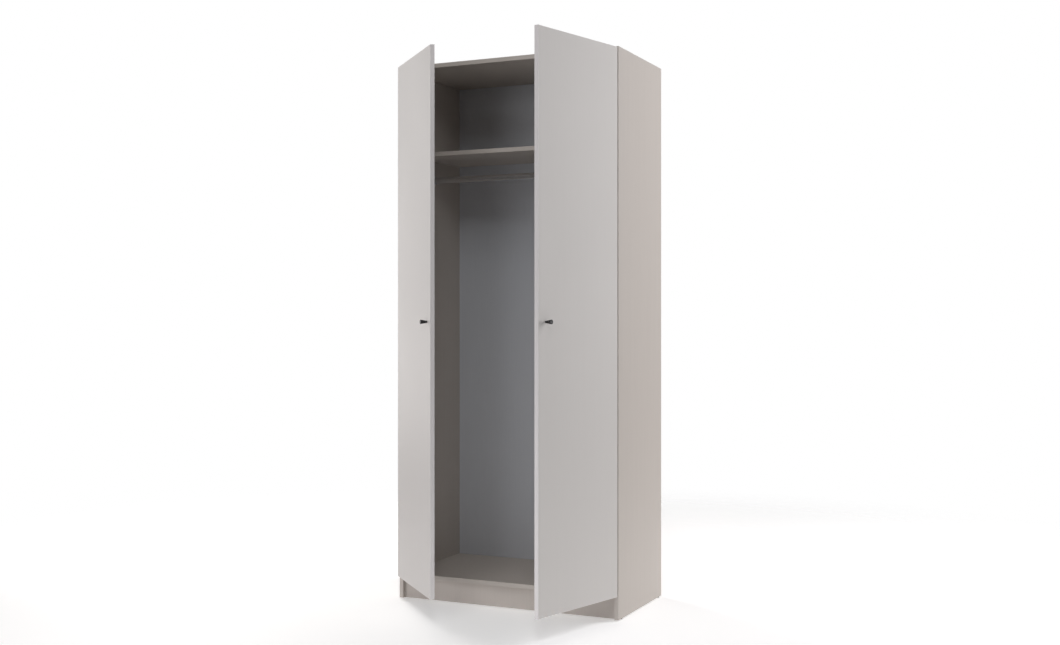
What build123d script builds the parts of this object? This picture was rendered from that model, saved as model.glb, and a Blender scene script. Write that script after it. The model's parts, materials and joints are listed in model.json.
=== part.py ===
from build123d import *
import math
import os

os.makedirs("parts", exist_ok=True)

# A two-door wardrobe of 16 mm board. +X is right, +Y is back, +Z is up, in millimetres.
# The origin is on the floor, in the middle of the carcass's footprint.

# Carcass
cabinet_width = 900.0  # over both side panels
side_height = 2040.0
side_depth = 460.0  # with the band on the front edge
board = 16.0
band = 1.0  # edge banding
band_round = 0.6
back_thickness = 3.0
back_margin = 2.0  # the back stops this far inside the carcass's outline
glide_height = 4.0
plinth_height = 80.0
plinth_recess = 16.0
hat_clear = 305.0  # between the shelf and the top panel
shelf_recess = 100.0
rear_gap = 1.0  # cross panels stop this far before the back

# Doors
door_gap = 3.0  # between a closed door and the carcass's front edges
side_gap = 2.5  # from a closed door's outer edge to the side panel's outer face
centre_gap = 4.0
door_drop = 4.0  # door's top edge below the top of the carcass
door_rise = 4.0  # door's bottom edge above the underside of the bottom panel
left_open = 44.5
right_open = 75.5

# Hanging rail
rail_radius = 12.5
rail_wall = 1.0
rail_drop = 80.0  # rail's axis below the shelf
rail_end_gap = 1.5
socket_radius = 21.0
socket_base = 3.0
socket_length = 13.0
socket_wall = 1.8
socket_clearance = 0.1
rail_screw_circle = 17.7
rail_screws_each = 3

# Cup hinges
hinges_per_door = 4
hinge_end = 100.0  # first and last hinge from the door's ends
cup_radius = 17.4
cup_wall = 1.0
cup_floor = 0.6
cup_depth = 12.2
cup_edge = 3.0  # from the door's edge to the cup's bore
cup_clearance = 0.1
flange_thickness = 1.2
flange_lip = 0.8
ear_offset = 9.5
ear_spacing = 45.0
ear_width = 12.0
ear_length = 57.0
ear_round = 4.0
hinge_pin_radius = 1.25
hinge_pin_half = 8.6
shoulder_clearance = 0.6  # between the arm's neck and the cup's bearing shoulders
hinge_pin_edge = 7.0  # pin's axis from the door's outer edge
hinge_pin_depth = 9.4  # pin's axis from the door's inner face
eye_radius = 2.0
eye_clearance = 0.05
sheet = 2.0
neck_half = 4.6
web_clearance = 0.3  # between the arm's web and the block on the plate
bend_radius = 2.5
arm_start = 8.0  # from the side panel's front edge
arm_end = 62.0
arm_flange = 1.6
arm_clearance = 0.4
plate_line = 37.0  # plate's screws from the front edge
plate_spacing = 32.0
plate_width = 18.0
plate_length = 52.0
plate_round = 4.5
plate_thickness = 2.0
block_half = 5.0
block_start = 12.0
block_end = 60.0
block_height = 5.2
arm_screw_lines = (28.0, 52.0)

# Fasteners
wood_screw_radius = 1.75
wood_screw_head = 3.3
wood_screw_length = 13.0
countersink_angle = 90.0
machine_screw_radius = 2.0
machine_screw_head = 3.6
machine_screw_head_height = 2.0
thread_clearance = 0.05
recess_width = 0.9
recess_length = 3.8
recess_depth = 1.1
cam_radius = 7.4
cam_depth = 12.4
cam_clearance = 0.1
cam_setback = 34.0
cam_slot = 7.6
cover_radius = 9.0
cover_height = 1.0
bolt_radius = 3.0
bolt_neck = 2.0
bolt_head = 3.5
bolt_head_length = 3.0
bolt_neck_length = 3.0
bolt_thread = 2.5
bolt_thread_length = 11.0
bolt_bore = 4.0
dowel_radius = 4.0
dowel_clearance = 0.1
dowel_in_side = 12.0
dowel_in_panel = 18.0
bore_end = 1.0  # a blind bore is this much longer than what goes in
fitting_inset = 50.0  # bolts from a panel's front and rear edges
fitting_pitch = 32.0
nail_radius = 0.7
nail_head = 1.8
nail_head_height = 0.6
nail_length = 22.0
nail_inset = 8.0
nail_pitch = 150.0
strip_flange = 0.8
strip_web = 1.0
strip_front = 18.0
strip_back = 12.0
strip_clearance = 0.1

# Small pieces
glide_radius = 7.0
glide_chamfer = 0.8
glide_front = 40.0
glide_rear = 24.0
glide_nail_radius = 1.2
glide_nail_head = 3.0
glide_nail_head_height = 1.0
glide_nail_sink = 1.2
glide_nail_length = 14.0
knob_edge = 40.0
knob_height = 1060.0  # above the underside of the side panels
knob_length = 25.0
knob_neck = 4.0
knob_face = 8.0
knob_dish_radius = 6.0  # shallow hollow in the wide end
knob_dish_angle = 164.0
knob_dimple = 0.9
knob_round = 0.7
knob_thread_depth = 9.0
knob_screw_clearance = 0.25
bumper_radius = 4.0
bumper_height = 2.5
bumper_edge = 12.0
bumper_end = 6.0

# Levels and planes that follow from the sizes above
front = -(side_depth + back_thickness) / 2
rear = front + side_depth
outer_x = cabinet_width / 2
inner_x = outer_x - board
side_low = glide_height
side_top = side_low + side_height
bottom_low = side_low + plinth_height
top_low = side_top - board
shelf_top = top_low - hat_clear
shelf_low = shelf_top - board
shelf_front = front + shelf_recess
panel_rear = rear - rear_gap
plinth_front = front + plinth_recess
rail_y = front + side_depth / 2
rail_z = shelf_low - rail_drop

edge_x = outer_x - side_gap
free_x = centre_gap / 2
door_width = edge_x - free_x
door_mid_x = (edge_x + free_x) / 2
door_back = front - door_gap
door_front = door_back - board
door_low = bottom_low + door_rise
door_top = side_top - door_drop
door_height = door_top - door_low
pin_x = edge_x - hinge_pin_edge
pin_y = door_back - hinge_pin_depth
cup_x = edge_x - cup_edge - cup_radius - cup_clearance
ear_x = cup_x - ear_offset
knob_x = free_x + knob_edge
knob_z = side_low + knob_height

hinge_first = door_low + hinge_end
hinge_step = (door_height - 2 * hinge_end) / (hinges_per_door - 1)
hinge_zs = [hinge_first + i * hinge_step for i in range(hinges_per_door)]

sides = {"left": -1, "right": 1}
swing_angle = {"left": left_open, "right": right_open}


def level(z):
    """Horizontal plane, facing up."""
    return Plane.XY.offset(z)


def facing_front(y):
    """Upright plane across the cabinet, facing forward: its own axes are X and Z."""
    return Plane.XZ.offset(-y)


def across(x, towards):
    """Upright plane at x that faces along X towards +1 or -1: its first axis is Y."""
    return Plane(origin=(x, 0, 0), x_dir=(0, 1, 0), z_dir=(towards, 0, 0))


def swung(plane, name):
    """The same plane on an open door: turned about the hinge pins' axis."""
    side = sides[name]
    there = Location((side * pin_x, pin_y, 0), (0, 0, side * swing_angle[name]))
    back_again = Location((-side * pin_x, -pin_y, 0))
    return Plane(there * back_again * plane.location)


def keep(piece, name):
    piece.part.label = name
    export_step(piece.part, f"parts/{name}.step")


def row_of(first, last, pitch):
    """Evenly spaced places from first to last, no further apart than pitch."""
    count = max(2, math.ceil((last - first) / pitch) + 1)
    return [first + i * (last - first) / (count - 1) for i in range(count)]


# Where bolts and dowels cross from the side panels into the panels between them, as (y, z)
def pair_of_rows(panel_front):
    bolts = [panel_front + fitting_inset, panel_rear - fitting_inset]
    dowels = [bolts[0] + fitting_pitch, bolts[1] - fitting_pitch]
    return bolts, dowels


full_bolts, full_dowels = pair_of_rows(front)
shelf_bolts, shelf_dowels = pair_of_rows(shelf_front)
plinth_y = plinth_front + board / 2
plinth_bolt_z = side_low + plinth_height / 2 + fitting_pitch / 2
plinth_dowel_z = side_low + plinth_height / 2 - fitting_pitch / 2
top_z = top_low + board / 2
bottom_z = bottom_low + board / 2
shelf_z = shelf_low + board / 2

bolt_points = [(y, z) for z in (top_z, bottom_z) for y in full_bolts]
bolt_points += [(y, shelf_z) for y in shelf_bolts] + [(plinth_y, plinth_bolt_z)]
dowel_points = [(y, z) for z in (top_z, bottom_z) for y in full_dowels]
dowel_points += [(y, shelf_z) for y in shelf_dowels] + [(plinth_y, plinth_dowel_z)]

# Planes on the cams' faces, turned into the board, with their first axis towards the side panel
cam_x = inner_x - cam_setback
top_cams = []
bottom_cams = []
shelf_cams = []
plinth_cams = []
for side in (-1, 1):
    outwards = (side, 0, 0)
    for y in full_bolts:
        top_cams.append(Plane((side * cam_x, y, side_top), outwards, (0, 0, -1)))
        bottom_cams.append(Plane((side * cam_x, y, bottom_low), outwards, (0, 0, 1)))
    for y in shelf_bolts:
        shelf_cams.append(Plane((side * cam_x, y, shelf_top), outwards, (0, 0, -1)))
    plinth_back = plinth_front + board
    plinth_cams.append(Plane((side * cam_x, plinth_back, plinth_bolt_z), outwards, (0, -1, 0)))
cam_faces = top_cams + bottom_cams + shelf_cams + plinth_cams
covered_faces = top_cams + shelf_cams


def cut_side_bores(towards, points, radius, depth):
    """Blind bores from a side panel's inner face outwards, at (y, z) points."""
    with BuildSketch(across(towards * inner_x, towards)) as mouths:
        with Locations(*[(y, towards * z) for y, z in points]):
            Circle(radius)
    extrude(mouths.sketch, amount=depth, mode=Mode.SUBTRACT)


def cut_end_bores(points, radius, depth):
    """Blind bores into both ends of a panel between the sides, at (y, z) points."""
    for end in (-1, 1):
        with BuildSketch(across(end * inner_x, -end)) as mouths:
            with Locations(*[(y, -end * z) for y, z in points]):
                Circle(radius)
        extrude(mouths.sketch, amount=depth, mode=Mode.SUBTRACT)


def cut_cam_bores(faces):
    for face in faces:
        with BuildSketch(face) as mouth:
            Circle(cam_radius + cam_clearance)
        extrude(mouth.sketch, amount=cam_depth + cam_clearance, mode=Mode.SUBTRACT)


def cut_fittings(y_bolts, y_dowels, z, faces):
    cut_end_bores([(y, z) for y in y_bolts], bolt_bore, cam_setback)
    cut_end_bores([(y, z) for y in y_dowels], dowel_radius + dowel_clearance, dowel_in_panel + bore_end)
    cut_cam_bores(faces)


def block(x0, x1, y0, y1, z0, z1, mode=Mode.ADD):
    """A rectangular board between two corners."""
    with BuildSketch(level(z0)) as outline:
        with Locations(((x0 + x1) / 2, (y0 + y1) / 2)):
            Rectangle(abs(x1 - x0), abs(y1 - y0))
    extrude(outline.sketch, amount=z1 - z0, mode=mode)


def round_front(piece, radius):
    """Soften the two long front edges of a strip that faces forward."""
    nose = piece.faces().sort_by(Axis.Y)[0]
    by_length = nose.edges().sort_by(SortBy.LENGTH)
    fillet(by_length[-2:], radius)


rail_screw_points = []
for i in range(rail_screws_each):
    turn = 2 * math.pi * i / rail_screws_each
    rail_screw_points.append(
        (rail_y + rail_screw_circle * math.sin(turn), rail_z + rail_screw_circle * math.cos(turn))
    )

# Side panels
for name, side in sides.items():
    with BuildPart() as side_panel:
        block(side * inner_x, side * outer_x, front + band, rear, side_low, side_top)
        cut_side_bores(side, bolt_points, bolt_thread + thread_clearance, bolt_thread_length + bore_end)
        cut_side_bores(side, dowel_points, dowel_radius + dowel_clearance, dowel_in_side + bore_end)
        plate_points = [
            (front + plate_line, z + end * plate_spacing / 2) for z in hinge_zs for end in (-1, 1)
        ]
        cut_side_bores(side, plate_points, wood_screw_radius, wood_screw_length)
        cut_side_bores(side, rail_screw_points, wood_screw_radius, wood_screw_length)
    keep(side_panel, f"side_panel_{name}")

    with BuildPart() as side_band:
        block(side * inner_x, side * outer_x, front, front + band, side_low, side_top)
        round_front(side_band, band_round)
    keep(side_band, f"side_band_{name}")

# Panels between the sides, each with a band on its front edge
cross_panels = {
    "top": (front, top_low, full_bolts, full_dowels, top_cams),
    "bottom": (front, bottom_low, full_bolts, full_dowels, bottom_cams),
    "shelf": (shelf_front, shelf_low, shelf_bolts, shelf_dowels, shelf_cams),
}
for name, (panel_front, low, bolts, dowels, faces) in cross_panels.items():
    with BuildPart() as panel:
        block(-inner_x, inner_x, panel_front + band, panel_rear, low, low + board)
        cut_fittings(bolts, dowels, low + board / 2, faces)
    keep(panel, "shelf" if name == "shelf" else f"{name}_panel")

    with BuildPart() as panel_band:
        block(-inner_x, inner_x, panel_front, panel_front + band, low, low + board)
        round_front(panel_band, band_round)
    keep(panel_band, f"{name}_band")

with BuildPart() as plinth_board:
    block(-inner_x, inner_x, plinth_front, plinth_front + board, side_low, bottom_low)
    cut_end_bores([(plinth_y, plinth_bolt_z)], bolt_bore, cam_setback)
    cut_end_bores(
        [(plinth_y, plinth_dowel_z)], dowel_radius + dowel_clearance, dowel_in_panel + bore_end
    )
    cut_cam_bores(plinth_cams)
keep(plinth_board, "plinth_board")

# Back: two sheets that meet in an H-shaped strip
back_low = bottom_low + back_margin
back_high = side_top - back_margin
sheet_x = outer_x - back_margin
seam_x = strip_web / 2 + strip_clearance
for name, side in sides.items():
    with BuildPart() as back_sheet:
        block(side * seam_x, side * sheet_x, rear, rear + back_thickness, back_low, back_high)
    keep(back_sheet, f"back_sheet_{name}")

with BuildPart() as back_strip:
    block(-strip_web / 2, strip_web / 2, rear, rear + back_thickness, back_low, back_high)
    block(-strip_front / 2, strip_front / 2, rear - strip_flange, rear, back_low, back_high)
    block(
        -strip_back / 2, strip_back / 2,
        rear + back_thickness, rear + back_thickness + strip_flange, back_low, back_high,
    )
keep(back_strip, "back_strip")

side_nail_x = outer_x - nail_inset
nail_points = [
    (side * side_nail_x, z)
    for side in (-1, 1)
    for z in row_of(bottom_z, top_z, nail_pitch)
]
nail_points += [
    (side * x, z)
    for side in (-1, 1)
    for x in row_of(strip_front, side_nail_x, nail_pitch)[:-1]
    for z in (bottom_z, top_z)
]
with BuildPart() as back_nails:
    for y, radius, length in (
        (rear + back_thickness, nail_head, nail_head_height),
        (rear + back_thickness, nail_radius, nail_length),
    ):
        with BuildSketch(facing_front(y)):
            with Locations(*nail_points):
                Circle(radius)
        extrude(amount=length)
keep(back_nails, "back_nails")

# Knock-down fittings
with BuildPart() as cam_locks:
    for face in cam_faces:
        with BuildSketch(face):
            Circle(cam_radius)
        extrude(amount=cam_depth)
        with BuildSketch(face):
            Rectangle(2 * recess_length, 2 * recess_width)
            Rectangle(2 * recess_width, 2 * recess_length)
        extrude(amount=2 * recess_depth, mode=Mode.SUBTRACT)
        with BuildSketch(face.offset(board / 2 - cam_slot / 2)):
            with Locations((cam_radius / 2, 0)):
                Rectangle(cam_radius + cam_slot, cam_slot)
        extrude(amount=cam_slot, mode=Mode.SUBTRACT)
keep(cam_locks, "cam_locks")

with BuildPart() as cam_covers:
    for face in covered_faces:
        with BuildSketch(face):
            Circle(cover_radius)
        extrude(amount=-cover_height)
keep(cam_covers, "cam_covers")

with BuildPart() as cam_bolts:
    for side in (-1, 1):
        head_x = inner_x - cam_setback
        neck_x = head_x + bolt_head_length
        shank_x = neck_x + bolt_neck_length
        for x, radius, length in (
            (head_x, bolt_head, bolt_head_length),
            (neck_x, bolt_neck, bolt_neck_length),
            (shank_x, bolt_radius, inner_x - shank_x),
            (inner_x, bolt_thread, bolt_thread_length),
        ):
            with BuildSketch(across(side * x, side)):
                with Locations(*[(y, side * z) for y, z in bolt_points]):
                    Circle(radius)
            extrude(amount=length)
keep(cam_bolts, "cam_bolts")

with BuildPart() as dowels:
    for side in (-1, 1):
        with BuildSketch(across(side * (inner_x - dowel_in_panel), side)):
            with Locations(*[(y, side * z) for y, z in dowel_points]):
                Circle(dowel_radius)
        extrude(amount=dowel_in_panel + dowel_in_side)
keep(dowels, "dowels")

# Glides under the side panels, each on a nail
glide_points = [
    (side * (outer_x - board / 2), y)
    for side in (-1, 1)
    for y in (front + glide_front, rear - glide_rear)
]
with BuildPart() as glides:
    with BuildSketch(level(0)):
        with Locations(*glide_points):
            Circle(glide_radius)
    extrude(amount=glide_height)
    chamfer(glides.faces().group_by(Axis.Z)[0].edges(), glide_chamfer)
    with BuildSketch(level(0)):
        with Locations(*glide_points):
            Circle(glide_nail_head)
    extrude(amount=glide_nail_sink + glide_nail_head_height, mode=Mode.SUBTRACT)
    with BuildSketch(level(0)):
        with Locations(*glide_points):
            Circle(glide_nail_radius)
    extrude(amount=glide_height, mode=Mode.SUBTRACT)
keep(glides, "glides")

with BuildPart() as glide_nails:
    for radius, length in (
        (glide_nail_head - thread_clearance, glide_nail_head_height),
        (glide_nail_radius, glide_nail_length),
    ):
        with BuildSketch(level(glide_nail_sink)):
            with Locations(*glide_points):
                Circle(radius)
        extrude(amount=length)
keep(glide_nails, "glide_nails")


def make_wood_screws(heads):
    """Countersunk screws. Each plane lies on a head's flat and faces away from the wood."""
    with Locations(*heads):
        Cone(
            wood_screw_radius, wood_screw_head, wood_screw_head - wood_screw_radius,
            align=(Align.CENTER, Align.CENTER, Align.MAX),
        )
        Cylinder(
            wood_screw_radius, wood_screw_length, align=(Align.CENTER, Align.CENTER, Align.MAX)
        )
    cut_cross_recess(heads)


def cut_cross_recess(heads):
    with Locations(*heads):
        top = (Align.CENTER, Align.CENTER, Align.MAX)
        Box(recess_length, recess_width, recess_depth, align=top, mode=Mode.SUBTRACT)
        Box(recess_width, recess_length, recess_depth, align=top, mode=Mode.SUBTRACT)


def cut_screw_seats(heads, depth):
    """Countersunk holes that clear the wood screws."""
    with Locations(*heads):
        CounterSinkHole(
            wood_screw_radius + thread_clearance,
            wood_screw_head + thread_clearance,
            depth,
            counter_sink_angle=countersink_angle,
        )


# Hanging rail in two flanged sockets
rail_half = inner_x - socket_base - rail_end_gap
with BuildPart() as hanging_rail:
    with BuildSketch(across(-rail_half, 1)):
        with Locations((rail_y, rail_z)):
            Circle(rail_radius)
            Circle(rail_radius - rail_wall, mode=Mode.SUBTRACT)
    extrude(amount=2 * rail_half)
keep(hanging_rail, "hanging_rail")

for name, side in sides.items():
    base_x = inner_x - socket_base
    rail_screw_heads = [
        Plane((side * base_x, y, z), (0, 1, 0), (-side, 0, 0)) for y, z in rail_screw_points
    ]
    bore_radius = rail_radius + socket_clearance
    with BuildPart() as rail_socket:
        with BuildSketch(across(side * inner_x, -side)):
            with Locations((rail_y, -side * rail_z)):
                Circle(socket_radius)
        extrude(amount=socket_base)
        outer_rim = rail_socket.faces().sort_by(Axis.X)[0 if side > 0 else -1].edges()
        fillet(outer_rim, band_round)
        with BuildSketch(across(side * base_x, -side)):
            with Locations((rail_y, -side * rail_z)):
                Circle(bore_radius + socket_wall)
        extrude(amount=socket_length)
        with BuildSketch(across(side * base_x, -side)):
            with Locations((rail_y, -side * rail_z)):
                Circle(bore_radius)
        extrude(amount=socket_length, mode=Mode.SUBTRACT)
        cut_screw_seats(rail_screw_heads, socket_base)
    keep(rail_socket, f"rail_socket_{name}")

    with BuildPart() as rail_screws:
        make_wood_screws(rail_screw_heads)
    keep(rail_screws, f"rail_screws_{name}")

# Doors, swung open about the hinge pins
for name, side in sides.items():
    door_face = swung(facing_front(door_back), name)
    outward = Axis((0, 0, 0), door_face.z_dir)

    with BuildPart() as door:
        with BuildSketch(door_face):
            with Locations((side * door_mid_x, (door_low + door_top) / 2)):
                Rectangle(door_width - 2 * band, door_height - 2 * band)
        extrude(amount=board)
        with BuildSketch(door_face):
            with Locations(*[(side * cup_x, z) for z in hinge_zs]):
                Circle(cup_radius + cup_clearance)
        extrude(amount=cup_depth + cup_clearance, mode=Mode.SUBTRACT)
        with BuildSketch(door_face):
            with Locations((side * knob_x, knob_z)):
                Circle(machine_screw_radius + knob_screw_clearance)
        extrude(amount=board, mode=Mode.SUBTRACT)
        with BuildSketch(door_face):
            with Locations(*[
                (side * ear_x, z + end * ear_spacing / 2) for z in hinge_zs for end in (-1, 1)
            ]):
                Circle(wood_screw_radius)
        extrude(amount=wood_screw_length, mode=Mode.SUBTRACT)
    keep(door, f"door_{name}")

    with BuildPart() as door_band:
        with BuildSketch(door_face):
            with Locations((side * door_mid_x, (door_low + door_top) / 2)):
                Rectangle(door_width, door_height)
        extrude(amount=board)
        fillet(door_band.edges().filter_by(outward, reverse=True), band_round)
        with BuildSketch(door_face):
            with Locations((side * door_mid_x, (door_low + door_top) / 2)):
                Rectangle(door_width - 2 * band, door_height - 2 * band)
        extrude(amount=board, mode=Mode.SUBTRACT)
    keep(door_band, f"door_band_{name}")

    knob_foot = swung(Plane((side * knob_x, door_front, knob_z), (1, 0, 0), (0, -1, 0)), name)
    with BuildPart() as knob:
        with Locations(knob_foot):
            Cone(knob_neck, knob_face, knob_length, align=(Align.CENTER, Align.CENTER, Align.MIN))
        rim = knob.edges().filter_by(GeomType.CIRCLE).sort_by(SortBy.LENGTH)[-1]
        fillet(rim, knob_round)
        with Locations(knob_foot.offset(knob_length)):
            CounterSinkHole(
                knob_dimple / 2, knob_dish_radius, knob_dimple, counter_sink_angle=knob_dish_angle
            )
        with BuildSketch(knob_foot):
            Circle(machine_screw_radius + thread_clearance)
        extrude(amount=knob_thread_depth, mode=Mode.SUBTRACT)
    keep(knob, f"knob_{name}")

    with BuildPart() as knob_screw:
        with BuildSketch(door_face):
            with Locations((side * knob_x, knob_z)):
                Circle(machine_screw_head)
        extrude(amount=-machine_screw_head_height)
        with BuildSketch(door_face):
            with Locations((side * knob_x, knob_z)):
                Circle(machine_screw_radius)
        extrude(amount=board + knob_thread_depth - bore_end)
        head_flat = door_face.offset(-machine_screw_head_height)
        with BuildSketch(head_flat):
            with Locations((side * knob_x, knob_z)):
                Rectangle(recess_length, recess_width)
                Rectangle(recess_width, recess_length)
        extrude(amount=recess_depth, mode=Mode.SUBTRACT)
    keep(knob_screw, f"knob_screw_{name}")

    with BuildPart() as bumpers:
        with BuildSketch(door_face):
            with Locations(*[
                (side * (free_x + bumper_edge), z)
                for z in (door_low + bumper_end, door_top - bumper_end)
            ]):
                Circle(bumper_radius)
        extrude(amount=-bumper_height)
    keep(bumpers, f"door_bumpers_{name}")

# Cup hinges: the cup and its pin on the door, the arm and its plate on the side panel
for name, side in sides.items():
    door_face = swung(facing_front(door_back), name)
    cup_centres = [(side * cup_x, z) for z in hinge_zs]
    ear_heads = [
        swung(Plane((side * ear_x, door_back + flange_thickness, z + end * ear_spacing / 2),
                    (1, 0, 0), (0, 1, 0)), name)
        for z in hinge_zs
        for end in (-1, 1)
    ]
    shoulder_reach = 2 * hinge_pin_radius
    shoulder_low = neck_half + shoulder_clearance
    shoulder_height = cup_radius - shoulder_low
    shoulder_centres = [
        (side * pin_x, z + end * (shoulder_low + cup_radius) / 2)
        for z in hinge_zs
        for end in (-1, 1)
    ]
    with BuildPart() as hinge_cups:
        with BuildSketch(door_face):
            with Locations(*cup_centres):
                Circle(cup_radius)
        extrude(amount=cup_depth)
        with BuildSketch(door_face):
            with Locations(*cup_centres):
                Circle(cup_radius + flange_lip)
            with Locations(*[(side * ear_x, z) for z in hinge_zs]):
                RectangleRounded(ear_width, ear_length, ear_round)
        extrude(amount=-flange_thickness)
        with BuildSketch(door_face.offset(-flange_thickness)):
            with Locations(*cup_centres):
                Circle(cup_radius - cup_wall)
            with Locations(*shoulder_centres):
                Rectangle(2 * shoulder_reach, shoulder_height, mode=Mode.SUBTRACT)
        extrude(amount=flange_thickness + cup_depth - cup_floor, mode=Mode.SUBTRACT)
        for z in hinge_zs:
            with BuildSketch(swung(level(z - hinge_pin_half), name)):
                with Locations((side * pin_x, pin_y)):
                    Circle(hinge_pin_radius)
            extrude(amount=2 * hinge_pin_half, mode=Mode.SUBTRACT)
        cut_screw_seats(ear_heads, flange_thickness)
    keep(hinge_cups, f"hinge_cups_{name}")

    with BuildPart() as cup_screws:
        make_wood_screws(ear_heads)
    keep(cup_screws, f"cup_screws_{name}")

    with BuildPart() as hinge_pins:
        for z in hinge_zs:
            with BuildSketch(swung(level(z - hinge_pin_half), name)):
                with Locations((side * pin_x, pin_y)):
                    Circle(hinge_pin_radius)
            extrude(amount=2 * hinge_pin_half)
    keep(hinge_pins, f"hinge_pins_{name}")

    leg_y = pin_y - eye_radius + sheet / 2
    riser_x = inner_x - block_height - web_clearance - sheet / 2
    web_near = riser_x + sheet / 2
    web_far = riser_x - sheet / 2
    plate_face = inner_x - plate_thickness
    neck_root = front + arm_start + bend_radius
    arm_screw_planes = [
        Plane((side * web_far, front + line, z), (0, 1, 0), (-side, 0, 0))
        for z in hinge_zs
        for line in arm_screw_lines
    ]
    with BuildPart() as hinge_arms:
        for z in hinge_zs:
            with BuildSketch(level(z - neck_half)):
                with BuildLine():
                    FilletPolyline(
                        (side * pin_x, leg_y), (side * riser_x, leg_y), (side * riser_x, neck_root),
                        radius=bend_radius,
                    )
                trace(line_width=sheet)
                with Locations((side * pin_x, pin_y)):
                    Circle(eye_radius)
            extrude(amount=2 * neck_half)
            with BuildSketch(level(z - neck_half)):
                with Locations((side * pin_x, pin_y)):
                    Circle(hinge_pin_radius + eye_clearance)
            extrude(amount=2 * neck_half, mode=Mode.SUBTRACT)
            half = block_half + arm_clearance + arm_flange
            y0 = front + arm_start
            y1 = front + arm_end
            block(side * web_far, side * web_near, y0, y1, z - half, z + half)
            foot = side * (plate_face - arm_clearance)
            for z0 in (z - half, z + half - arm_flange):
                block(side * web_near, foot, y0, y1, z0, z0 + arm_flange)
        with Locations(*arm_screw_planes):
            Hole(machine_screw_radius + thread_clearance, 2 * sheet)
    keep(hinge_arms, f"hinge_arms_{name}")

    plate_heads = [
        Plane((side * plate_face, front + plate_line, z + end * plate_spacing / 2),
              (0, 1, 0), (-side, 0, 0))
        for z in hinge_zs
        for end in (-1, 1)
    ]
    with BuildPart() as hinge_plates:
        for z in hinge_zs:
            with BuildSketch(across(side * inner_x, -side)):
                with Locations((front + plate_line, -side * z)):
                    RectangleRounded(plate_width, plate_length, plate_round)
            extrude(amount=plate_thickness)
            block(
                side * inner_x, side * (inner_x - block_height),
                front + block_start, front + block_end, z - block_half, z + block_half,
            )
        cut_screw_seats(plate_heads, plate_thickness)
        with Locations(*arm_screw_planes):
            Hole(machine_screw_radius + thread_clearance, inner_x - web_far)
    keep(hinge_plates, f"hinge_plates_{name}")

    with BuildPart() as plate_screws:
        make_wood_screws(plate_heads)
    keep(plate_screws, f"plate_screws_{name}")

    with BuildPart() as arm_screws:
        with Locations(*arm_screw_planes):
            Cylinder(
                machine_screw_head, machine_screw_head_height,
                align=(Align.CENTER, Align.CENTER, Align.MIN),
            )
            Cylinder(
                machine_screw_radius, inner_x - web_far - bore_end,
                align=(Align.CENTER, Align.CENTER, Align.MAX),
            )
        cut_cross_recess([plane.offset(machine_screw_head_height) for plane in arm_screw_planes])
    keep(arm_screws, f"arm_screws_{name}")
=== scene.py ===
import bpy
import bmesh
import json
from math import cos, pi, radians, sin
from mathutils import Matrix, Vector


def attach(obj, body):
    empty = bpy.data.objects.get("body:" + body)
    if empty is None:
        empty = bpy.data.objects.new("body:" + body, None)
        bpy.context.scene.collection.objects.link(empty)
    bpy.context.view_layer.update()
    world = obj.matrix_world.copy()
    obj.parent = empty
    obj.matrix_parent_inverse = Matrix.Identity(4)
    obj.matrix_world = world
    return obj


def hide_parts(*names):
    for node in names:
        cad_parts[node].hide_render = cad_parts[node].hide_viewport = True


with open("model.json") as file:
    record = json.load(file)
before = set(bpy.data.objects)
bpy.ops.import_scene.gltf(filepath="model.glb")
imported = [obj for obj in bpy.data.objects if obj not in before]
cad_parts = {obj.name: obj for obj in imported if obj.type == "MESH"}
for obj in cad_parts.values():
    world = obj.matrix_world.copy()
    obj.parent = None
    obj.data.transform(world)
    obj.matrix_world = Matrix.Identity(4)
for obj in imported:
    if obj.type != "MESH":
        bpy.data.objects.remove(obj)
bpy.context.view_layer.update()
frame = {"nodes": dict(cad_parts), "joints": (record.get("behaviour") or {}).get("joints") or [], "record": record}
print("stage: frame loaded")

millimetre = 0.001
axisX, axisZ = Vector((1.0, 0.0, 0.0)), Vector((0.0, 0.0, 1.0))


# Shader maths: one output socket that can be used in ordinary expressions
class Wire:
    def __init__(self, recipe, socket):
        self.recipe = recipe
        self.socket = socket

    def reckon(self, operation, first, second):
        return self.recipe.node("ShaderNodeMath", {"operation": operation}, {0: first, 1: second})

    def __add__(self, other):
        return self.reckon("ADD", self, other)

    def __radd__(self, other):
        return self.reckon("ADD", other, self)

    def __sub__(self, other):
        return self.reckon("SUBTRACT", self, other)

    def __rsub__(self, other):
        return self.reckon("SUBTRACT", other, self)

    def __mul__(self, other):
        return self.reckon("MULTIPLY", self, other)

    def __rmul__(self, other):
        return self.reckon("MULTIPLY", other, self)

    def __gt__(self, other):
        return self.reckon("GREATER_THAN", self, other)

    def clipped(self):
        return self.recipe.node("ShaderNodeClamp", {}, {"Value": self})


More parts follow.
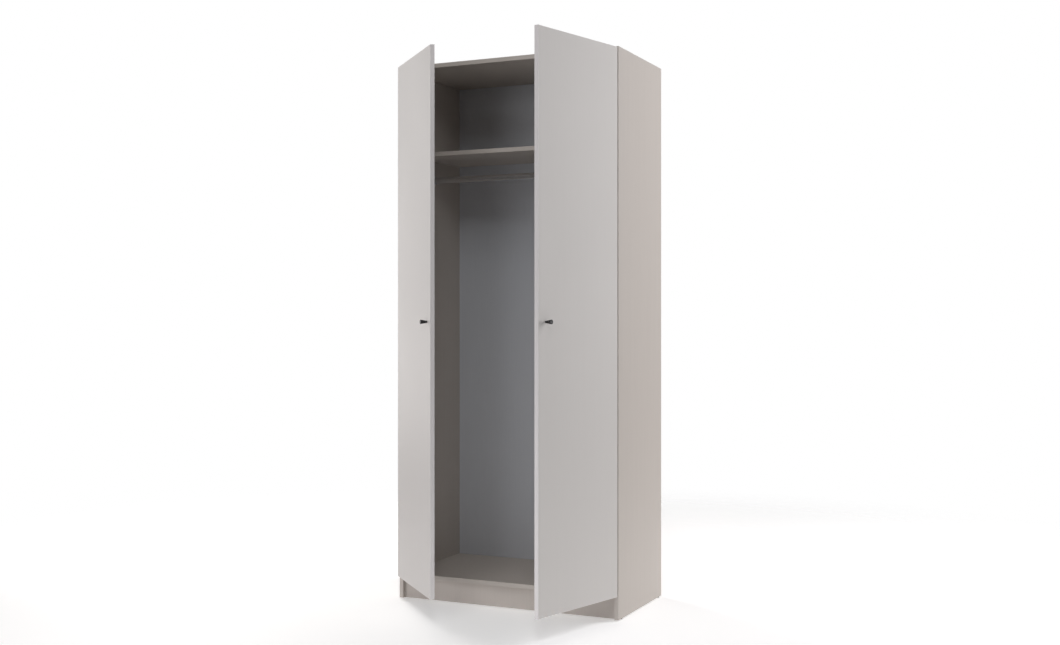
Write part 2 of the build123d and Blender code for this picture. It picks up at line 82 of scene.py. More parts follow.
# One material's node tree, and the steps that its finishes have in common
class Recipe:
    edgeSamples = 4  # of the rounded normal that finds the edges

    def __init__(self, name):
        self.material = bpy.data.materials.new(name)
        self.material.use_nodes = True
        self.tree = self.material.node_tree
        self.tree.nodes.clear()
        self.place = self.node("ShaderNodeTexCoord", {}, {}, "Object")

    def node(self, kind, settings, inputs, output=0):
        made = self.tree.nodes.new(kind)
        for key, value in settings.items():
            if key == "stops":
                self.setStops(made.color_ramp, value)
            else:
                setattr(made, key, value)
        for key, value in inputs.items():
            if isinstance(value, Wire):
                self.tree.links.new(value.socket, made.inputs[key])
            else:
                made.inputs[key].default_value = value
        return Wire(self, made.outputs[output])

    def setStops(self, ramp, stops):
        while len(ramp.elements) < len(stops):
            ramp.elements.new(1.0)
        for element, (position, level) in zip(ramp.elements, stops):
            element.position = position
            element.color = (level, level, level, 1.0)

    def stretched(self, cells):
        return self.node("ShaderNodeMapping", {}, {"Vector": self.place, "Scale": cells})

    # Cells are counted per metre along X, Y and Z of the piece
    def noise(self, cells, detail, roughness, distortion=0.0):
        return self.node("ShaderNodeTexNoise", {}, {
            "Vector": self.stretched(cells), "Scale": 1.0, "Detail": detail,
            "Roughness": roughness, "Distortion": distortion,
        })

    def ramp(self, value, stops):
        return self.node("ShaderNodeValToRGB", {"stops": stops}, {"Fac": value})

    def blend(self, share, first, second):
        return self.node("ShaderNodeMix", {"data_type": "RGBA"}, {0: share, 6: first, 7: second}, 2)

    # One colour in a darker and a lighter tone
    def tones(self, share, colour, factors):
        dark, light = factors
        return self.blend(share, tint(colour, dark), tint(colour, light))

    # Which way the surface points along one axis of the piece, from -1 to 1
    def facing(self, axis):
        direction = self.node("ShaderNodeTexCoord", {}, {}, "Normal")
        return self.node("ShaderNodeSeparateXYZ", {}, {"Vector": direction}, axis)

    # 1 on an outer edge or corner of the piece, 0 on its flats
    def edgeMask(self, radius, gain):
        rounded = self.node("ShaderNodeBevel", {"samples": self.edgeSamples}, {"Radius": radius})
        plain = self.node("ShaderNodeNewGeometry", {}, {}, "True Normal")
        alike = self.node("ShaderNodeVectorMath", {"operation": "DOT_PRODUCT"},
                          {0: rounded, 1: plain}, "Value")
        return ((1.0 - alike) * gain).clipped()

    def bump(self, height, distance, strength, under=None):
        inputs = {"Height": height, "Distance": distance, "Strength": strength}
        if under is not None:
            inputs["Normal"] = under
        return self.node("ShaderNodeBump", {}, inputs)

    def finish(self, sockets):
        shader = self.node("ShaderNodeBsdfPrincipled", {}, sockets)
        output = self.tree.nodes.new("ShaderNodeOutputMaterial")
        self.tree.links.new(shader.socket, output.inputs["Surface"])
        return self.material


def tint(colour, factor=1.0):
    return (colour[0] * factor, colour[1] * factor, colour[2] * factor, 1.0)


# In the finishes below, a noise is its cells, detail, roughness and distortion, stops are positions and
# levels, a bump is its depth and strength, a wear its reach and gain, and a roughness its plain value
# and what each pattern adds to it, or takes off for wear
greige = {
    # carcass: the doors' greige melamine made darker and warmer, painted shade for the shaded inside of the
    # cabinet
    "carcass": (0.50, 0.459, 0.422),
    "door": (0.60, 0.578, 0.558),
    # doorBand: lighter and cooler than the door face, partly the band's own lighter tone and partly a painted
    # highlight with the cool light on the door ends
    "doorBand": (0.75, 0.724, 0.722),
    "worn": (0.68, 0.65, 0.61),
}

chipboard = {
    "flakes": (520.0, 520.0, 260.0),
    "specks": ((900.0, 900.0, 500.0), 3.0, 0.7),
    "speckStops": [(0.3, 0.9), (0.5, 0.0)],
    "dark": (0.30, 0.19, 0.10),
    "light": (0.52, 0.37, 0.23),
    "speck": (0.13, 0.08, 0.045),
    "roughness": 0.85,
    "rearFacing": 0.7,  # faces that point further back than this are bare
}


# The bare core of a chipboard panel, where no band covers it
def chipCore(recipe):
    flakes = recipe.node("ShaderNodeTexVoronoi", {"feature": "F1"},
                         {"Vector": recipe.stretched(chipboard["flakes"]), "Scale": 1.0}, "Color")
    flakeTone = recipe.node("ShaderNodeSeparateXYZ", {}, {"Vector": flakes}, "X")
    specks = recipe.ramp(recipe.noise(*chipboard["specks"]), chipboard["speckStops"])
    chips = recipe.blend(flakeTone, tint(chipboard["dark"]), tint(chipboard["light"]))
    return recipe.blend(specks, chips, tint(chipboard["speck"]))


melamine = {
    "grain": ((420.0, 420.0, 7.0), 3.0, 0.6, 0.2),
    "bands": ((60.0, 60.0, 1.4), 2.0, 0.5),
    "cloud": ((2.2, 2.2, 1.6), 2.0, 0.5),
    "pores": ((1500.0, 1500.0, 1500.0), 2.0, 0.6),
    "mix": (0.6, 0.4),  # of grain and bands
    "streaks": [(0.34, 0.0), (0.62, 1.0)],
    "lightShare": 0.4,  # how much of the contrast lies above the plain tone
    "clouding": (0.5, 0.97),  # share and tone
    "wear": (1.2 * millimetre, 2.2),
    "rub": [(0.35, 0.1), (0.7, 0.55)],
    "roughness": (0.46, 0.10, 0.06, 0.08),  # plain, cloud, pores, wear
    "poreBump": (0.06 * millimetre, 0.5),
    "grainBump": (0.05 * millimetre, 0.6),
    "specular": 0.4,
}


# Melamine-faced board: a faint upright print grain, a fine pressed texture, lighter where it is handled
def melamineBoard(name, colour, contrast, rawEdges):
    recipe = Recipe(name)
    grain, bands = recipe.noise(*melamine["grain"]), recipe.noise(*melamine["bands"])
    cloud, pores = recipe.noise(*melamine["cloud"]), recipe.noise(*melamine["pores"])
    grainShare, bandShare = melamine["mix"]
    streak = recipe.ramp(grain * grainShare + bands * bandShare, melamine["streaks"])
    printed = recipe.tones(streak, colour, (1.0 - contrast, 1.0 + contrast * melamine["lightShare"]))
    clouding, cloudTone = melamine["clouding"]
    shaded = recipe.blend(cloud * clouding, printed, tint(colour, cloudTone))
    wear = recipe.edgeMask(*melamine["wear"])
    rub = wear * recipe.ramp(pores, melamine["rub"])
    face = recipe.blend(rub, shaded, tint(greige["worn"]))
    plain, byCloud, byPores, byWear = melamine["roughness"]
    rough = plain + cloud * byCloud + pores * byPores - wear * byWear
    bump = recipe.bump(pores, *melamine["poreBump"])
    bump = recipe.bump(grain, *melamine["grainBump"], bump)
    if rawEdges:
        bare = recipe.facing("Y") > chipboard["rearFacing"]
        face = recipe.blend(bare, face, chipCore(recipe))
        rough = rough * (1.0 - bare) + chipboard["roughness"] * bare
    return recipe.finish({"Base Color": face, "Roughness": rough, "Normal": bump,
                          "Specular IOR Level": melamine["specular"]})


banding = {
    "fine": ((900.0, 900.0, 90.0), 3.0, 0.6),
    "drift": ((8.0, 8.0, 5.0), 2.0, 0.5),
    "tones": (0.965, 1.01),
    "wear": (0.8 * millimetre, 2.0),
    "rub": [(0.4, 0.15), (0.65, 0.7)],
    "roughness": (0.40, 0.10, 0.05),  # plain, fine texture, drift
    "bump": (0.03 * millimetre, 0.5),
}


# Edge band: smooth, a touch glossier than the faces, worn lighter along its rounded edges
def edgeBand(name, colour):
    recipe = Recipe(name)
    fine, drift = recipe.noise(*banding["fine"]), recipe.noise(*banding["drift"])
    rub = recipe.edgeMask(*banding["wear"]) * recipe.ramp(drift, banding["rub"])
    base = recipe.tones(drift, colour, banding["tones"])
    plain, byFine, byDrift = banding["roughness"]
    return recipe.finish({"Base Color": recipe.blend(rub, base, tint(greige["worn"])),
                          "Roughness": plain + fine * byFine + drift * byDrift,
                          "Normal": recipe.bump(fine, *banding["bump"])})


hardboard = {
    # face: cool grey, painted shade and cool light on the board's white printed face
    "face": (0.555, 0.572, 0.608),
    "rear": (0.33, 0.235, 0.15),
    "grain": ((170.0, 170.0, 5.0), 4.0, 0.7, 0.8),
    "cloud": ((3.0, 3.0, 1.5), 2.0, 0.5),
    "fibre": ((1300.0, 1300.0, 1300.0), 4.0, 0.75),
    "clumps": ((140.0, 140.0, 140.0), 3.0, 0.6),
    "streaks": [(0.30, 0.0), (0.70, 1.0)],
    "faceTones": (0.975, 1.015),
    "rearTones": (0.72, 1.2),
    "clouding": (0.5, 0.95),  # share and tone
    "clumping": (0.5, 0.85),
    "faceRoughness": (0.50, 0.12),  # plain, cloud
    "rearRoughness": (0.78, 0.12),  # plain, fibre
    "grainHeight": 0.08,  # of the fibre's
    "bump": (0.10 * millimetre, 0.6),
    "printFacing": -0.5,  # faces that point further forwards than this are printed
}


# Thin back: a printed face with faint upright grain inside, its cool grey painted shade and cool light on a white
# board; bare pressed fibre behind
def hardboardBack():
    recipe = Recipe("hardboardBack")
    grain, cloud = recipe.noise(*hardboard["grain"]), recipe.noise(*hardboard["cloud"])
    fibre, clumps = recipe.noise(*hardboard["fibre"]), recipe.noise(*hardboard["clumps"])
    clouding, cloudTone = hardboard["clouding"]
    inner = recipe.tones(recipe.ramp(grain, hardboard["streaks"]), hardboard["face"], hardboard["faceTones"])
    inner = recipe.blend(cloud * clouding, inner, tint(hardboard["face"], cloudTone))
    clumping, clumpTone = hardboard["clumping"]
    outer = recipe.tones(fibre, hardboard["rear"], hardboard["rearTones"])
    outer = recipe.blend(clumps * clumping, outer, tint(hardboard["rear"], clumpTone))
    bare = recipe.facing("Y") > hardboard["printFacing"]
    facePlain, byCloud = hardboard["faceRoughness"]
    rearPlain, byFibre = hardboard["rearRoughness"]
    rough = (facePlain + cloud * byCloud) * (1.0 - bare) + (rearPlain + fibre * byFibre) * bare
    height = grain * hardboard["grainHeight"] * (1.0 - bare) + fibre * bare
    return recipe.finish({"Base Color": recipe.blend(bare, inner, outer), "Roughness": rough,
                          "Normal": recipe.bump(height, *hardboard["bump"])})


plastic = {
    "grain": ((2600.0, 2600.0, 2600.0), 2.0, 0.6),
    "drift": ((70.0, 70.0, 70.0), 2.0, 0.5),
    "tones": (0.92, 1.04),
    "wear": (0.5 * millimetre, 1.8),
    "rub": [(0.35, 0.0), (0.65, 0.8)],
    "roughness": (0.10, 0.06),  # grain, drift
    "bump": (0.03 * millimetre, 0.6),
    # colour, colour where scuffed, plain roughness
    "pale": ((0.60, 0.58, 0.56), (0.70, 0.68, 0.66), 0.42),
    "dark": ((0.035, 0.035, 0.036), (0.14, 0.14, 0.14), 0.45),
}


# Moulded plastic: fine spark-eroded texture, slight scuffs on raised edges
def mouldedPlastic(name, colour, scuff, plain):
    recipe = Recipe(name)
    grain, drift = recipe.noise(*plastic["grain"]), recipe.noise(*plastic["drift"])
    rub = recipe.edgeMask(*plastic["wear"]) * recipe.ramp(drift, plastic["rub"])
    base = recipe.tones(drift, colour, plastic["tones"])
    byGrain, byDrift = plastic["roughness"]
    return recipe.finish({"Base Color": recipe.blend(rub, base, tint(scuff)),
                          "Roughness": plain + grain * byGrain + drift * byDrift,
                          "Normal": recipe.bump(grain, *plastic["bump"])})


silicone = {
    "cloud": ((420.0, 420.0, 420.0), 2.0, 0.5),
    "dust": ((2200.0, 2200.0, 2200.0), 3.0, 0.7),
    "dustStops": [(0.62, 0.0), (0.72, 1.0)],
    "clear": (0.62, 0.62, 0.60),
    "milky": (0.74, 0.74, 0.72),
    "dusty": (0.5, 0.48, 0.45),
    "dusting": 0.4,
    "roughness": (0.22, 0.4, 0.08),  # plain, dust, cloud
    "transmission": 0.55,
    "refraction": 1.41,
}


# Soft clear bumper, cloudy with a few dust specks
def siliconeBumper():
    recipe = Recipe("siliconeBumper")
    cloud = recipe.noise(*silicone["cloud"])
    dust = recipe.ramp(recipe.noise(*silicone["dust"]), silicone["dustStops"])
    base = recipe.blend(cloud, tint(silicone["clear"]), tint(silicone["milky"]))
    face = recipe.blend(dust * silicone["dusting"], base, tint(silicone["dusty"]))
    plain, byDust, byCloud = silicone["roughness"]
    return recipe.finish({"Base Color": face,
                          "Roughness": plain + dust * byDust + cloud * byCloud,
                          "Transmission Weight": silicone["transmission"], "IOR": silicone["refraction"]})


plating = {
    "grain": (3.0, 0.65),
    "stains": ((45.0, 45.0, 45.0), 3.0, 0.6),
    "stainStops": [(0.38, 0.0), (0.66, 1.0)],
    "tones": (0.82, 1.05),
    "wear": (0.4 * millimetre, 1.6),
    "bright": (0.86, 0.86, 0.85),
    "roughness": (0.16, 0.10, 0.08),  # grain, stains, wear
    "bumpStrength": 0.6,
    # colour, plain roughness, grain's cells and depth, how bright the edges are rubbed
    "castZinc": ((0.50, 0.50, 0.51), 0.42, (1400.0, 1400.0, 1400.0), 0.06 * millimetre, 0.4),
    "zincSteel": ((0.62, 0.63, 0.65), 0.26, (900.0, 900.0, 2400.0), 0.02 * millimetre, 0.5),
    "nickelSteel": ((0.68, 0.66, 0.62), 0.20, (300.0, 2400.0, 2400.0), 0.02 * millimetre, 0.5),
}


# Bare and plated metals: fine brushing or casting grain, brighter where edges are rubbed
def platedMetal(name):
    recipe = Recipe(name)
    colour, plain, cells, depth, rubbed = plating[name]
    grain, stains = recipe.noise(cells, *plating["grain"]), recipe.noise(*plating["stains"])
    wear = recipe.edgeMask(*plating["wear"])
    tone = recipe.tones(recipe.ramp(stains, plating["stainStops"]), colour, plating["tones"])
    byGrain, byStains, byWear = plating["roughness"]
    return recipe.finish({"Base Color": recipe.blend(wear * rubbed, tone, tint(plating["bright"])),
                          "Metallic": 1.0,
                          "Roughness": plain + grain * byGrain + stains * byStains - wear * byWear,
                          "Normal": recipe.bump(grain, depth, plating["bumpStrength"])})


chrome = {
    "hairs": ((5.0, 1800.0, 1800.0), 2.0, 0.6),
    "marks": ((420.0, 30.0, 30.0), 3.0, 0.7),
    "markStops": [(0.60, 0.0), (0.74, 1.0)],
    "haze": ((14.0, 60.0, 60.0), 2.0, 0.5),
    "clean": (0.80, 0.81, 0.83),
    "marked": (0.62, 0.62, 0.63),
    "marking": 0.25,
    "roughness": (0.07, 0.07, 0.16, 0.04),  # plain, haze, marks, hairs
    "bump": (0.01 * millimetre, 0.4),
}


# Bright chrome tube: clean, with hairline marks along it from hangers
def chromeTube():
    recipe = Recipe("chromeTube")
    hairs, haze = recipe.noise(*chrome["hairs"]), recipe.noise(*chrome["haze"])
    marks = recipe.ramp(recipe.noise(*chrome["marks"]), chrome["markStops"])
    plain, byHaze, byMarks, byHairs = chrome["roughness"]
    face = recipe.blend(marks * chrome["marking"], tint(chrome["clean"]), tint(chrome["marked"]))
    return recipe.finish({"Base Color": face, "Metallic": 1.0,
                          "Roughness": plain + haze * byHaze + marks * byMarks + hairs * byHairs,
                          "Normal": recipe.bump(hairs, *chrome["bump"])})


coating = {
    "peel": ((1100.0, 1100.0, 1100.0), 2.0, 0.5),
    "drift": ((160.0, 160.0, 160.0), 2.0, 0.5),
    "deep": (0.012, 0.012, 0.013),
    "thin": (0.022, 0.022, 0.023),
    "worn": (0.05, 0.049, 0.048),
    "wear": (0.6 * millimetre, 1.8),
    "rub": [(0.4, 0.1), (0.7, 0.7)],
    "roughness": (0.46, 0.12, 0.06),  # plain, peel, drift
    "bump": (0.05 * millimetre, 0.7),
}


# Satin black powder coat: orange peel, thin and greyer along edges
def powderCoat():
    recipe = Recipe("powderCoat")
    peel, drift = recipe.noise(*coating["peel"]), recipe.noise(*coating["drift"])
    rub = recipe.edgeMask(*coating["wear"]) * recipe.ramp(drift, coating["rub"])
    base = recipe.blend(drift, tint(coating["deep"]), tint(coating["thin"]))
    plain, byPeel, byDrift = coating["roughness"]
    return recipe.finish({"Base Color": recipe.blend(rub, base, tint(coating["worn"])),
                          "Roughness": plain + peel * byPeel + drift * byDrift,
                          "Normal": recipe.bump(peel, *coating["bump"])})


beech = {
    "grain": ((30.0, 500.0, 500.0), 3.0, 0.6),
    "flecks": ((60.0, 900.0, 900.0), 3.0, 0.7),
    "fleckStops": [(0.55, 0.0), (0.68, 1.0)],
    "dark": (0.52, 0.34, 0.20),
    "light": (0.68, 0.49, 0.32),
    "fleck": (0.34, 0.20, 0.11),
    "flecking": 0.7,
    "roughness": (0.62, 0.15),  # plain, grain
    "bump": (0.08 * millimetre, 0.6),
}


# Beech: pale wood with short flecks along it
def beechWood():
    recipe = Recipe("beechWood")
    grain = recipe.noise(*beech["grain"])
    flecks = recipe.ramp(recipe.noise(*beech["flecks"]), beech["fleckStops"])
    base = recipe.blend(grain, tint(beech["dark"]), tint(beech["light"]))
    plain, byGrain = beech["roughness"]
    return recipe.finish({"Base Color": recipe.blend(flecks * beech["flecking"], base, tint(beech["fleck"])),
                          "Roughness": plain + grain * byGrain,
                          "Normal": recipe.bump(grain, *beech["bump"])})


contrast = {"carcass": 0.035, "door": 0.012}  # of the printed grain

finishes = {
    # the carcass board's darker, warmer greige is painted shade for the shaded inside
    "board_melamine": melamineBoard("greigeBoard", greige["carcass"], contrast["carcass"], rawEdges=True),
    "board_edging": edgeBand("greigeBand", greige["carcass"]),
    "door_face": melamineBoard("doorFace", greige["door"], contrast["door"], rawEdges=False),
    # the door band's lighter, cooler tone is partly a painted highlight of the lit door ends
    "door_edging": edgeBand("doorBand", greige["doorBand"]),
    "back_board": hardboardBack(),
    "light_plastic": mouldedPlastic("palePlastic", *plastic["pale"]),
    "dark_plastic": mouldedPlastic("darkPlastic", *plastic["dark"]),
    "clear_bumper": siliconeBumper(),
    "zinc_fitting": platedMetal("castZinc"),
    "zinc_steel": platedMetal("zincSteel"),
    "nickel_steel": platedMetal("nickelSteel"),
    "bright_chrome": chromeTube(),
    "black_metal": powderCoat(),
    "beech": beechWood(),
}
slotOf = {part["node"]: part["material_slot"] for part in frame["record"]["subparts"]}
bodyOf = {node: body for body, nodes in frame["record"]["behaviour"]["bodies"].items() for node in nodes}
for name, piece in frame["nodes"].items():
    piece.data.materials.clear()
    piece.data.materials.append(finishes[slotOf[name]])
print("stage: finishes on", len(slotOf), "nodes")

joining = {
    "corners": 0.001 * millimetre,  # corners of the frame's loose triangles that are one
    "seam": 0.0005 * millimetre,  # where a turned shell meets itself
    "modifier": 0.002 * millimetre,
}


# The separate solids of a node, as lists of their corner points, from the floor up
def solidsOf(node):
    mesh = bmesh.new()
    mesh.from_mesh(frame["nodes"][node].data)
    bmesh.ops.remove_doubles(mesh, verts=mesh.verts, dist=joining["corners"])
    waiting = set(mesh.verts)
    solids = []
    while waiting:
        group, edge = [], [waiting.pop()]
        while edge:
            corner = edge.pop()
            group.append(corner.co.copy())
            for link in corner.link_edges:
                other = link.other_vert(corner)
                if other in waiting:
                    waiting.remove(other)
                    edge.append(other)
        solids.append(group)
    mesh.free()
    return sorted(solids, key=lambda group: tuple(round(value, 4) for value in reversed(middleOf(group))))


def middleOf(points):
    return [(min(p[i] for p in points) + max(p[i] for p in points)) / 2 for i in range(3)]


def reach(points, direction):
    along = [point.dot(direction) for point in points]
    return min(along), max(along)


# Frame of a round solid: its foot on the turning axis, with local Z along the direction it points
def standAt(points, direction):
    sideways = axisZ.cross(direction)
    if sideways.length < 0.5:
        sideways = axisX.copy()
    upward = direction.cross(sideways)
    low, high = reach(points, direction)
    foot = direction * low
    for axis in (sideways, upward):
        near, far = reach(points, axis)
        foot = foot + axis * (near + far) / 2
    turn = Matrix((sideways, upward, direction)).transposed().to_4x4()
    return Matrix.Translation(foot) @ turn, high - low


# Where a node's round solids stand, with their radius and length in millimetres
def roundSolids(node, direction, across):
    solids = solidsOf(node)
    stands = [standAt(points, direction) for points in solids]
    low, high = reach(solids[0], across)
    return [place for place, length in stands], (high - low) / 2 / millimetre, stands[0][1] / millimetre


# Turn a profile of (radius, height) points, in millimetres, into a closed shell
def turned(profile, steps):
    mesh = bmesh.new()
    points = [mesh.verts.new((radius * millimetre, 0.0, height * millimetre)) for radius, height in profile]
    edges = [mesh.edges.new(pair) for pair in zip(points, points[1:])]
    if profile[0][0] > 0.0:
        edges.append(mesh.edges.new((points[-1], points[0])))
    bmesh.ops.spin(mesh, geom=points + edges, cent=(0.0, 0.0, 0.0), axis=axisZ,
                   angle=2 * pi, steps=steps, use_merge=True, use_duplicate=False)
    bmesh.ops.remove_doubles(mesh, verts=mesh.verts, dist=joining["seam"])
    bmesh.ops.recalc_face_normals(mesh, faces=mesh.faces)
    return mesh


sharpTurn = 50.0  # degrees between two faces of a turned piece past which their edge is rounded


def soften(mesh, size, segments, sharperThan=sharpTurn, picked=None):
    sharp = [edge for edge in mesh.edges
             if edge.is_manifold and edge.calc_face_angle() > radians(sharperThan)
             and (picked is None or picked(edge))]
    bevelEdges(mesh, sharp, size, segments)
    return mesh


def bevelEdges(mesh, edges, size, segments):
    bmesh.ops.bevel(mesh, geom=edges, offset=size * millimetre, offset_type="OFFSET", segments=segments,
                    affect="EDGES", profile=0.5, material=-1, clamp_overlap=True)


def copies(template, matrices):
    stamp = bpy.data.meshes.new("stamp")
    template.to_mesh(stamp)
    template.free()
    whole = bmesh.new()
    for matrix in matrices:
        known = len(whole.verts)
        whole.from_mesh(stamp)
        whole.verts.ensure_lookup_table()
        bmesh.ops.transform(whole, matrix=matrix, verts=whole.verts[known:])
    bpy.data.meshes.remove(stamp)
    return whole


# Make the mesh an object that stands for a node: same body, same finish
def keepPiece(mesh, name, node, sharperThan=38.0):
    bmesh.ops.recalc_face_normals(mesh, faces=mesh.faces)
    for face in mesh.faces:
        face.smooth = True
    data = bpy.data.meshes.new(name)
    mesh.to_mesh(data)
    mesh.free()
    data.set_sharp_from_angle(angle=radians(sharperThan))
    data.materials.append(finishes[slotOf[node]])
    piece = bpy.data.objects.new(name, data)
    bpy.context.scene.collection.objects.link(piece)
    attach(piece, bodyOf[node])
    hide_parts(node)
    return piece


# Which way the outer face of each door points as it stands open
def doorFacing(side):
    joint = next(joint for joint in frame["joints"] if joint["child"] == side + "_door")
    opened = Matrix.Rotation(radians(-joint["range_deg"][0]), 3, Vector(joint["axis"]))
    return opened @ Vector((0.0, -1.0, 0.0))


knob = {
    "neck": 4.0, "collar": 0.7, "waist": 3.7, "face": 8.0,
    "flare": 8,  # rings along the cone
    "dish": 6.4, "dimple": 0.6,
    "slope": (0.72, 0.55),  # shares of the dish's radius and depth where it flattens out
    "rim": 0.7, "foot": 0.2,
    "endZone": 1.0,  # the rim's and the foot's edges lie this close to the ends
    "steps": 72,
}


# A flared knob: straight collar, a cone that widens to a rounded rim, and a dished face
def makeKnob(side):
    node = "knob_" + side
    (place,), _, tall = roundSolids(node, doorFacing(side), axisZ)
    profile = [(0.0, 0.0), (knob["neck"], 0.0), (knob["neck"], knob["collar"])]
    for ring in range(1, knob["flare"] + 1):
        share = ring / knob["flare"]
        profile.append((knob["waist"] + (knob["face"] - knob["waist"]) * share,
                        knob["collar"] + (tall - knob["collar"]) * share))
    inward, downward = knob["slope"]
    profile += [(knob["dish"], tall), (knob["dish"] * inward, tall - knob["dimple"] * downward),
                (0.0, tall - knob["dimple"])]
    rimStart, footEnd = (tall - knob["endZone"]) * millimetre, knob["endZone"] * millimetre
    mesh = turned(profile, knob["steps"])
    soften(mesh, knob["rim"], 4, picked=lambda edge: edge.verts[0].co.z > rimStart)
    soften(mesh, knob["foot"], 2, picked=lambda edge: edge.verts[0].co.z < footEnd)
    mesh.transform(place)
    return keepPiece(mesh, "turned_knob_" + side, node)


rail = {"wall": 1.0, "lip": 0.3, "steps": 96}


# The hanging rail is a plain round tube, its cut ends deburred
def makeRail():
    (place,), radius, tall = roundSolids("hanging_rail", axisX, axisZ)
    inner = radius - rail["wall"]
    profile = [(inner, 0.0), (radius, 0.0), (radius, tall), (inner, tall)]
    mesh = soften(turned(profile, rail["steps"]), rail["lip"], 2)
    mesh.transform(place)
    return keepPiece(mesh, "chrome_rail", "hanging_rail")


glide = {
    "bore": 1.2, "seat": 3.0, "sink": 2.2,
    "chamfer": 0.35,  # round the nail's seat
    "crown": 0.5, "flat": 0.62,  # drop of the crowned face, and its flat middle as a share of the radius
    "lip": 0.25, "steps": 48,
}


# Nail-on glides: a crowned rubbing face round the sunk nail
def makeGlides():
    places, radius, tall = roundSolids("glides", -axisZ, axisX)
    seat, chamfer, sunk = glide["seat"], glide["chamfer"], tall - glide["sink"]
    profile = [
        (glide["bore"], 0.0), (radius, 0.0), (radius, tall - glide["crown"]), (radius * glide["flat"], tall),
        (seat + chamfer, tall), (seat, tall - chamfer), (seat, sunk), (glide["bore"], sunk),
    ]
    mesh = soften(turned(profile, glide["steps"]), glide["lip"], 2)
    return keepPiece(copies(mesh, places), "nail_on_glides", "glides")


cover = {"skirt": 0.35, "slope": 1.1, "dish": 5.6, "dishSlope": 0.8, "sunk": 0.18, "lip": 0.3,
         "sharp": 20.0, "steps": 56}


# Cam covers: thin caps with a rounded rim and a barely dished middle
def makeCovers():
    places, radius, tall = roundSolids("cam_covers", axisZ, axisX)
    floor = tall - cover["sunk"]
    profile = [(0.0, 0.0), (radius, 0.0), (radius, cover["skirt"]), (radius - cover["slope"], tall),
               (cover["dish"], tall), (cover["dish"] - cover["dishSlope"], floor), (0.0, floor)]
    mesh = soften(turned(profile, cover["steps"]), cover["lip"], 3, cover["sharp"])
    return keepPiece(copies(mesh, places), "cam_cover_caps", "cam_covers")


bumper = {"skirt": 0.12, "rings": 8, "steps": 40}  # the skirt is a share of the height


# Stick-on bumpers: flat underneath, domed on top
def makeBumpers(side):
    node = "door_bumpers_" + side
    places, radius, tall = roundSolids(node, -doorFacing(side), axisZ)
    skirt = bumper["skirt"]
    profile = [(0.0, 0.0), (radius, 0.0), (radius, tall * skirt)]
    for ring in range(1, bumper["rings"]):
        turn = pi / 2 * ring / bumper["rings"]
        profile.append((radius * cos(turn), tall * (skirt + (1.0 - skirt) * sin(turn))))
    profile.append((0.0, tall))
    return keepPiece(copies(turned(profile, bumper["steps"]), places), "dome_bumpers_" + side, node)


dowel = {"flutes": 20, "groove": 0.22, "chamfer": 1.0, "sharp": 60.0}


# Dowels: fluted sides for the glue and chamfered ends
def makeDowels():
    places, radius, tall = roundSolids("dowels", axisX, axisZ)
    width, length = radius * millimetre, tall * millimetre
    mesh = bmesh.new()
    bmesh.ops.create_cone(mesh, cap_ends=True, segments=2 * dowel["flutes"], radius1=width, radius2=width,
                          depth=length, matrix=Matrix.Translation((0.0, 0.0, length / 2)))
    ends = [edge for edge in mesh.edges if any(len(face.verts) > 4 for face in edge.link_faces)]
    bevelEdges(mesh, ends, dowel["chamfer"], 1)
    grooved = [vert for vert in mesh.verts if ribOf(vert) % 2]
    slimmer = 1.0 - dowel["groove"] / radius
    bmesh.ops.scale(mesh, vec=(slimmer, slimmer, 1.0), verts=grooved)
    return keepPiece(copies(mesh, places), "fluted_dowels", "dowels", dowel["sharp"])


# Which of the dowel's ribs and grooves a corner belongs to, counted round the axis
def ribOf(vert):
    turn = axisX.xy.angle_signed(vert.co.xy)
    return round((turn / pi + 2.0) * dowel["flutes"])


for side in ("left", "right"):
    makeKnob(side)
    makeBumpers(side)
makeRail()
makeGlides()
makeCovers()
makeDowels()
print("stage: turned pieces")

# Pressed, cast and cut pieces keep their exact shape and get their edges broken: size and segments
broken = {
    "hinge_cups": (0.3, 2), "hinge_arms": (0.35, 2), "hinge_plates": (0.35, 2), "cup_screws": (0.12, 1),
    "plate_screws": (0.12, 1), "arm_screws": (0.2, 2), "rail_socket": (0.35, 2), "rail_screws": (0.12, 1),
    "knob_screw": (0.25, 2), "back_nails": (0.15, 1), "cam_locks": (0.2, 1), "glide_nails": (0.15, 1),
    "back_strip": (0.2, 2), "hinge_pins": (0.15, 1),
}
brokenAngle = 40.0


def breakEdges(node, size, segments):
    piece = frame["nodes"][node]
    weld = piece.modifiers.new("weld", "WELD")
    weld.merge_threshold = joining["modifier"]
    bevel = piece.modifiers.new("broken edges", "BEVEL")
    bevel.width = size * millimetre
    bevel.segments = segments
    bevel.limit_method = "ANGLE"
    bevel.angle_limit = radians(brokenAngle)
    bevel.use_clamp_overlap = True


for node in frame["nodes"]:
    for start, (size, segments) in broken.items():
        if node.startswith(start):
            breakEdges(node, size, segments)
print("stage: edges broken")

studio = {
    "backdrop": 1.0,
    "ambient": 0.06,
    "aim": (0.0, 0.0, 1.0),
    "lamps": {
        # turn round the cabinet from its front, height angle, distance, width, height, brightness, colour
        "leftRear": (-118.0, 14.0, 3.5, 1.8, 3.2, 5.2, (1.03, 1.0, 0.98)),
        "frontFill": (0.0, 12.0, 4.5, 1.4, 1.8, 3.5, (0.99, 0.99, 1.01)),
        "frontTop": (0.0, 62.0, 3.5, 1.2, 1.2, 3.0, (1.05, 1.0, 0.95)),
        "keyLamp": (24.0, 40.0, 5.0, 0.6, 1.8, 9.6, (0.98, 1.0, 1.02)),
        "rightRear": (123.0, 20.0, 3.5, 1.8, 3.2, 5.45, (1.02, 1.0, 1.01)),
        "floorWash": (-30.0, -12.0, 3.5, 1.6, 0.5, 7.1, (1.02, 0.97, 1.01)),
        "overhead": (0.0, 90.0, 3.5, 2.4, 2.4, 1.2, (1.0, 1.0, 1.0)),
    },
}


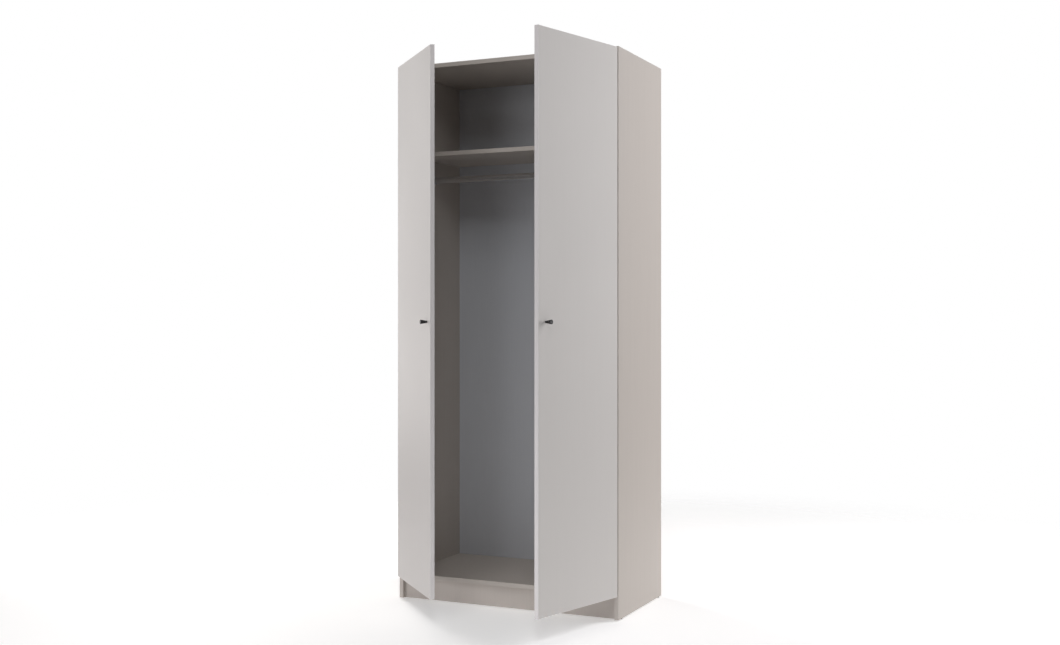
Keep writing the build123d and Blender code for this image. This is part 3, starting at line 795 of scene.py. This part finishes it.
def hangLamp(name, turn, rise, distance, width, height, brightness, colour):
    light = bpy.data.lights.new(name, "AREA")
    light.shape = "RECTANGLE"
    light.size, light.size_y = width, height
    light.energy = brightness * pi * width * height
    light.color = colour
    lamp = bpy.data.objects.new(name, light)
    bpy.context.scene.collection.objects.link(lamp)
    turn, rise = radians(turn), radians(rise)
    away = Vector((sin(turn) * cos(rise), -cos(turn) * cos(rise), sin(rise)))
    lamp.location = Vector(studio["aim"]) + away * distance
    lamp.rotation_euler = (-away).to_track_quat("-Z", "Y").to_euler()
    lamp.visible_camera = False


# The backdrop is bright to look at but lights the cabinet only a little
def makeStudio():
    world = bpy.data.worlds.new("studio")
    bpy.context.scene.world = world
    world.use_nodes = True
    nodes, links = world.node_tree.nodes, world.node_tree.links
    nodes.clear()
    paths = nodes.new("ShaderNodeLightPath")
    seen = nodes.new("ShaderNodeMath")
    seen.operation = "MULTIPLY_ADD"
    links.new(paths.outputs["Is Camera Ray"], seen.inputs[0])
    seen.inputs[1].default_value = studio["backdrop"] - studio["ambient"]
    seen.inputs[2].default_value = studio["ambient"]
    glow = nodes.new("ShaderNodeBackground")
    glow.inputs["Color"].default_value = (1.0, 1.0, 1.0, 1.0)
    links.new(seen.outputs[0], glow.inputs["Strength"])
    out = nodes.new("ShaderNodeOutputWorld")
    links.new(glow.outputs[0], out.inputs["Surface"])
    for name, setting in studio["lamps"].items():
        hangLamp(name, *setting)


ground = {
    "size": 8.0,
    "fade": (1.5, 3.4),  # full floor inside the first radius, none past the second
    "cloud": ((0.8, 0.8, 0.8), 2.0, 0.5),
    "tones": (0.90, 0.92),
    "roughness": 0.7,
    "glow": 0.30,
}


def makeFloor():
    mesh = bmesh.new()
    bmesh.ops.create_grid(mesh, x_segments=1, y_segments=1, size=ground["size"] / 2)
    data = bpy.data.meshes.new("floor")
    mesh.to_mesh(data)
    mesh.free()
    floor = bpy.data.objects.new("floor", data)
    bpy.context.scene.collection.objects.link(floor)
    recipe = Recipe("paleFloor")
    white = (1.0, 1.0, 1.0)
    colour = recipe.tones(recipe.noise(*ground["cloud"]), white, ground["tones"])
    distance = recipe.node("ShaderNodeVectorMath", {"operation": "LENGTH"}, {0: recipe.place}, "Value")
    near, far = ground["fade"]
    cover = recipe.node("ShaderNodeMapRange", {"interpolation_type": "SMOOTHSTEP"}, {
        "Value": distance, "From Min": near, "From Max": far, "To Min": 1.0, "To Max": 0.0,
    })
    data.materials.append(recipe.finish({"Base Color": colour, "Roughness": ground["roughness"],
                                         "Alpha": cover, "Emission Color": tint(white),
                                         "Emission Strength": ground["glow"]}))


makeStudio()
makeFloor()
print("stage: studio")

view = {"place": (2.0943, -4.5070, 1.0678), "tilt": 90.0, "turn": 24.969, "lens": 43.708, "shift": -0.0016}
scene = bpy.context.scene
scene.view_settings.view_transform = "Standard"
camera = bpy.data.objects.new("camera", bpy.data.cameras.new("camera"))
scene.collection.objects.link(camera)
camera.location = view["place"]
camera.rotation_euler = (radians(view["tilt"]), 0.0, radians(view["turn"]))
camera.data.lens = view["lens"]
camera.data.shift_y = view["shift"]
scene.camera = camera
print("stage: camera")
